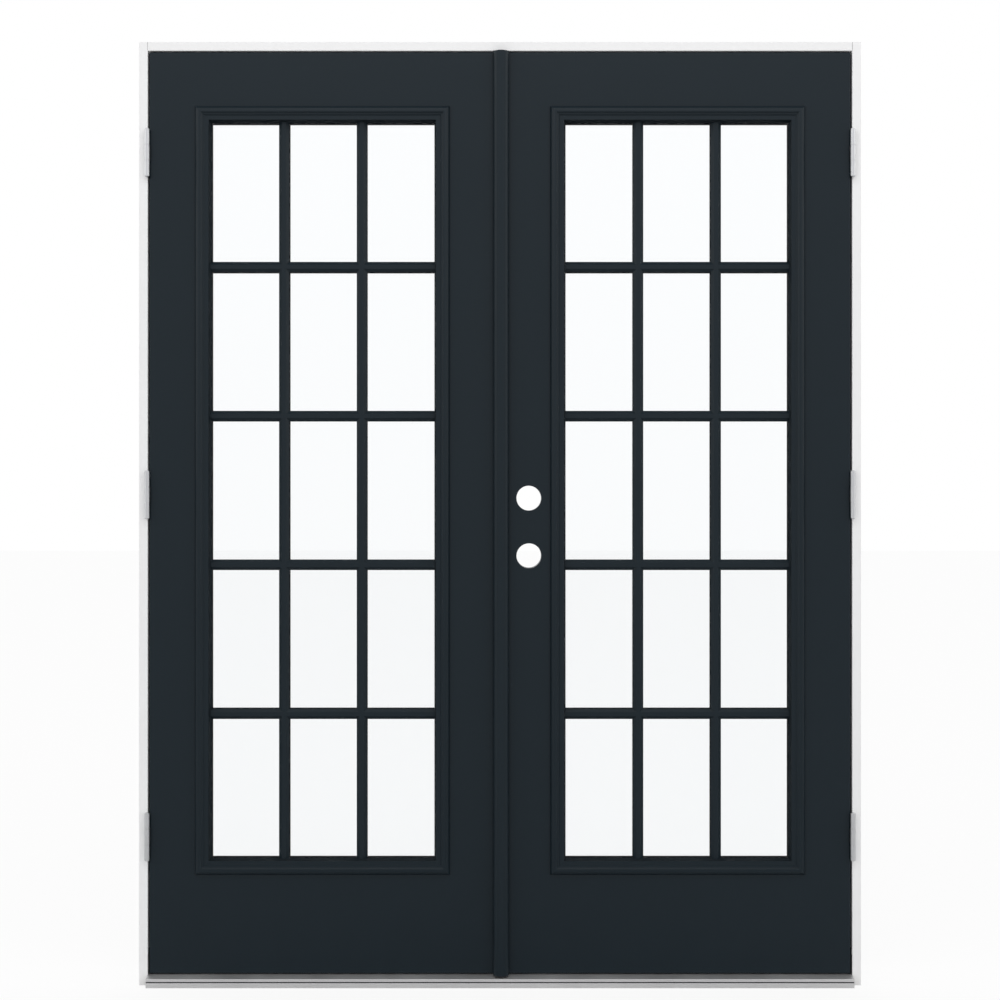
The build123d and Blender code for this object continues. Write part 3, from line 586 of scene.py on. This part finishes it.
def bolt_details():
    """Screws in the face plates and the strikes of the two flush bolts."""
    small = screw(SMALL_SCREW_RADIUS)
    heights = (
        BOLT_PLATE_FOOT + PLATE_SCREW_INSET,
        BOLT_PLATE_FOOT + BOLT_PLATE_HEIGHT - PLATE_SCREW_INSET,
        BOLT_PLATE_HEAD - BOLT_PLATE_HEIGHT + PLATE_SCREW_INSET,
        BOLT_PLATE_HEAD - PLATE_SCREW_INSET,
    )
    plate_screws = [
        (small, facing((-MEETING_EDGE, MID_SLAB, height), (1, 0, 0), SPIN * index))
        for index, height in enumerate(heights)
    ]
    piece("bolt_plate_screws", "left_leaf", "hinge_steel", plate_screws)
    strike_screws = []
    ends = (STRIKE_LEFT + STRIKE_SCREW_INSET, STRIKE_RIGHT - STRIKE_SCREW_INSET)
    for index, x in enumerate(ends):
        over = facing((x, MID_SLAB, HEAD_RABBET), (0, 0, -1), SPIN * index)
        under = facing((x, MID_SLAB, SILL_DECK), (0, 0, 1), SPIN * index + PARTNER_SPIN)
        strike_screws += [(small, over), (small, under)]
    piece("strike_screws", "frame", "hinge_steel", strike_screws)


# The sill's insert: how far short of the sill's ends and behind the nose's front it is, and
# the heights of its foot and top.
INSERT_END_GAP = 0.2
INSERT_DEPTHS = (1.0, 3.5)
INSERT_HEIGHTS = (10.4, 13.4)

# The corner pads: from how deep in the jamb to how far out of it, up to the shoulder and at
# the tip, how deep in the doorway, how deep in the sill's deck, and the heights of both.
PAD_IN_JAMB = 0.2
PAD_THICKNESS = 2.6
PAD_TIP_THICKNESS = 0.6
PAD_DEPTHS = (2.0, 40.0)
PAD_TIP_DEPTHS = (12.0, 40.0)
PAD_IN_DECK = 0.3
PAD_SHOULDER = 62.0
PAD_TIP = 78.0


def sill_details():
    """Dark strip in the nose's groove and a foam pad in each bottom corner."""
    ends = (-RABBET + INSERT_END_GAP, RABBET - INSERT_END_GAP)
    depths = [NOSE_FRONT + depth for depth in INSERT_DEPTHS]
    insert = [outline(ends, depths, height) for height in INSERT_HEIGHTS]
    piece("sill_insert", "frame", "seal", [(insert, HERE)])
    for side, sign in SIDES:
        back = sign * (RABBET + PAD_IN_JAMB)
        wide = sorted((back, sign * (RABBET - PAD_THICKNESS)))
        thin = sorted((back, sign * (RABBET - PAD_TIP_THICKNESS)))
        rings = [
            outline(wide, PAD_DEPTHS, SILL_DECK - PAD_IN_DECK),
            outline(wide, PAD_DEPTHS, PAD_SHOULDER),
            outline(thin, PAD_TIP_DEPTHS, PAD_TIP),
        ]
        piece(f"{side}_corner_pad", "frame", "seal", [(rings, HERE)])


# The corner seams: from how far inside the doorway to how far outside it, how proud of the
# frame's face and how deep in it, and how far off the head's two edges.
SEAM_INSIDE, SEAM_OUTSIDE = 0.2, 0.25
SEAM_DEPTHS = (-0.06, 0.4)
SEAM_FOOT_GAP, SEAM_TOP_GAP = 1.2, 0.1


def frame_seams():
    """A dark grey strip at each top corner, where the head meets the side boards: a painted shadow line in the
    seam.
    """
    heights = (HEAD_RABBET + SEAM_FOOT_GAP, FRAME_TOP - SEAM_TOP_GAP)
    for side, sign in SIDES:
        x = sorted((sign * (RABBET - SEAM_INSIDE), sign * (RABBET + SEAM_OUTSIDE)))
        line = [outline(x, SEAM_DEPTHS, height) for height in heights]
        piece(f"{side}_corner_seam", "frame", "frame_paint", [(line, HERE)], seam_shadow_line)


hinge_details()
screw_caps()
bolt_details()
sill_details()
frame_seams()


# Stage, in metres

# The floor: its colour in the light it throws back and where it is seen, and how much of what
# is seen is plain white glow.
FLOOR_REACH = 30.0
FLOOR_DROP = 0.0005
FLOOR_BOUNCE = (0.66, 0.66, 0.66, 1.0)
FLOOR_SEEN = (0.9, 0.9, 0.9, 1.0)
FLOOR_GLOW = 0.88

# The world's light, by the direction it comes from. How far that direction points straight
# ahead or back, from 0 to 1: the front's colours over the first value, the side's under the
# second one.
RING_START, RING_END = 0.80, 0.40

# How far it points up, from -1 to 1: the low colours turn to the high ones over the horizon,
# and above the start of the zenith the light fades to that share.
HORIZON = 0.35
ZENITH_START = 0.45
ZENITH = 0.15
FRONT_LOW, FRONT_HIGH = (0.52, 0.52, 0.50), (1.08, 1.08, 1.11)
SIDE_LOW, SIDE_HIGH = (0.95, 0.95, 0.94), (1.68, 1.68, 1.66)
WHITE = (1.0, 1.0, 1.0, 1.0)


def seen_directly(tree):
    """1 where the camera sees a thing itself or through glass, 0 in reflections and light."""
    make = tree.nodes.new
    link = tree.links.new
    path = make("ShaderNodeLightPath")
    bounces = make("ShaderNodeMath")
    bounces.operation = "ADD"
    link(path.outputs["Glossy Depth"], bounces.inputs[0])
    link(path.outputs["Diffuse Depth"], bounces.inputs[1])
    straight = make("ShaderNodeMath")
    straight.operation = "LESS_THAN"
    straight.inputs[1].default_value = 0.5
    link(bounces.outputs[0], straight.inputs[0])
    either = make("ShaderNodeMath")
    either.operation = "MAXIMUM"
    link(path.outputs["Is Camera Ray"], either.inputs[0])
    link(path.outputs["Is Transmission Ray"], either.inputs[1])
    both = make("ShaderNodeMath")
    both.operation = "MULTIPLY"
    link(either.outputs[0], both.inputs[0])
    link(straight.outputs[0], both.inputs[1])
    return both.outputs[0]


def floor():
    """Pale floor that is almost white where it is seen and keeps a faint shadow."""
    mesh = bpy.data.meshes.new("floor")
    sides = (-FLOOR_REACH, FLOOR_REACH)
    mesh.from_pydata(outline(sides, sides, 0.0), [], [(0, 1, 2, 3)])
    thing = bpy.data.objects.new("floor", mesh)
    thing.location.z = -FLOOR_DROP
    scene.collection.objects.link(thing)
    material = bpy.data.materials.new("floor")
    material.use_nodes = True
    tree = material.node_tree
    make = tree.nodes.new
    link = tree.links.new
    bsdf = tree.nodes["Principled BSDF"]
    bsdf.inputs["Roughness"].default_value = 0.9
    paint = make("ShaderNodeMix")
    paint.data_type = "RGBA"
    paint.inputs["A"].default_value = FLOOR_BOUNCE
    paint.inputs["B"].default_value = FLOOR_SEEN
    glow = make("ShaderNodeEmission")
    share = make("ShaderNodeMath")
    share.operation = "MULTIPLY"
    share.inputs[1].default_value = FLOOR_GLOW
    mix = make("ShaderNodeMixShader")
    seen = seen_directly(tree)
    link(seen, paint.inputs["Factor"])
    link(paint.outputs["Result"], bsdf.inputs["Base Color"])
    link(seen, share.inputs[0])
    link(share.outputs[0], mix.inputs["Fac"])
    link(bsdf.outputs["BSDF"], mix.inputs[1])
    link(glow.outputs["Emission"], mix.inputs[2])
    link(mix.outputs["Shader"], tree.nodes["Material Output"].inputs["Surface"])
    mesh.materials.append(material)


def sky():
    """World: white where the camera sees it; for light, a soft studio that is bright at the
    sides, dimmer in front of and behind the doors and low down, and dimmest straight above."""
    world = bpy.data.worlds.new("studio")
    scene.world = world
    world.use_nodes = True
    tree = world.node_tree
    tree.nodes.clear()
    make = tree.nodes.new
    link = tree.links.new

    def fade(source, start, end, low, high):
        node = make("ShaderNodeMapRange")
        node.interpolation_type = "SMOOTHSTEP"
        node.inputs["From Min"].default_value = start
        node.inputs["From Max"].default_value = end
        node.inputs["To Min"].default_value = low
        node.inputs["To Max"].default_value = high
        link(source, node.inputs["Value"])
        return node.outputs["Result"]

    def colour_mix(factor):
        node = make("ShaderNodeMix")
        node.data_type = "RGBA"
        link(factor, node.inputs["Factor"])
        return node

    coordinates = make("ShaderNodeTexCoord")
    split = make("ShaderNodeSeparateXYZ")
    link(coordinates.outputs["Generated"], split.inputs[0])
    ahead = make("ShaderNodeMath")
    ahead.operation = "ABSOLUTE"
    link(split.outputs["Y"], ahead.inputs[0])
    ring = fade(ahead.outputs[0], RING_START, RING_END, 0.0, 1.0)
    rise = fade(split.outputs["Z"], -HORIZON, HORIZON, 0.0, 1.0)
    around = colour_mix(ring)
    for low, high, socket in ((FRONT_LOW, FRONT_HIGH, "A"), (SIDE_LOW, SIDE_HIGH, "B")):
        upwards = colour_mix(rise)
        upwards.inputs["A"].default_value = (*low, 1.0)
        upwards.inputs["B"].default_value = (*high, 1.0)
        link(upwards.outputs["Result"], around.inputs[socket])
    studio = make("ShaderNodeBackground")
    link(around.outputs["Result"], studio.inputs["Color"])
    link(fade(split.outputs["Z"], ZENITH_START, 1.0, 1.0, ZENITH), studio.inputs["Strength"])
    white = make("ShaderNodeBackground")
    white.inputs["Color"].default_value = WHITE
    mix = make("ShaderNodeMixShader")
    link(seen_directly(tree), mix.inputs["Fac"])
    link(studio.outputs[0], mix.inputs[1])
    link(white.outputs[0], mix.inputs[2])
    link(mix.outputs[0], make("ShaderNodeOutputWorld").inputs["Surface"])


def softbox(name, place, target, width, height, power):
    """Rectangular lamp at a place, turned to a target."""
    data = bpy.data.lights.new(name, "AREA")
    data.shape = "RECTANGLE"
    data.size = width
    data.size_y = height
    data.energy = power
    thing = bpy.data.objects.new(name, data)
    thing.location = place
    aim = Vector(target) - Vector(place)
    thing.rotation_euler = aim.to_track_quat("-Z", "Y").to_euler()
    scene.collection.objects.link(thing)


floor()
sky()
softbox(
    "top_box",
    place=(0.0, -2.1, 4.3),
    target=(0.0, 0.0, 1.0),
    width=3.6,
    height=1.6,
    power=27.5,
)


# Camera

# The photograph's side in pixels, the row of the frame's top edge in it, how much one pixel
# covers at the doors' outside face, and how far in front of that face the camera stands.
PHOTO_SIDE = 1000
TOP_ROW = 42.04
PIXEL = 2.1627 * MM
DISTANCE = 3.5
SENSOR_WIDTH = 36.0

camera_data = bpy.data.cameras.new("camera")
camera_data.sensor_width = SENSOR_WIDTH
camera_data.lens = SENSOR_WIDTH * DISTANCE / (PHOTO_SIDE * PIXEL)
camera = bpy.data.objects.new("camera", camera_data)
camera.location = (0.0, -DISTANCE, FRAME_TOP * MM - (PHOTO_SIDE / 2 - TOP_ROW) * PIXEL)
camera.rotation_euler = (math.radians(90), 0.0, 0.0)
scene.collection.objects.link(camera)
scene.camera = camera

scene.view_settings.view_transform = "Standard"
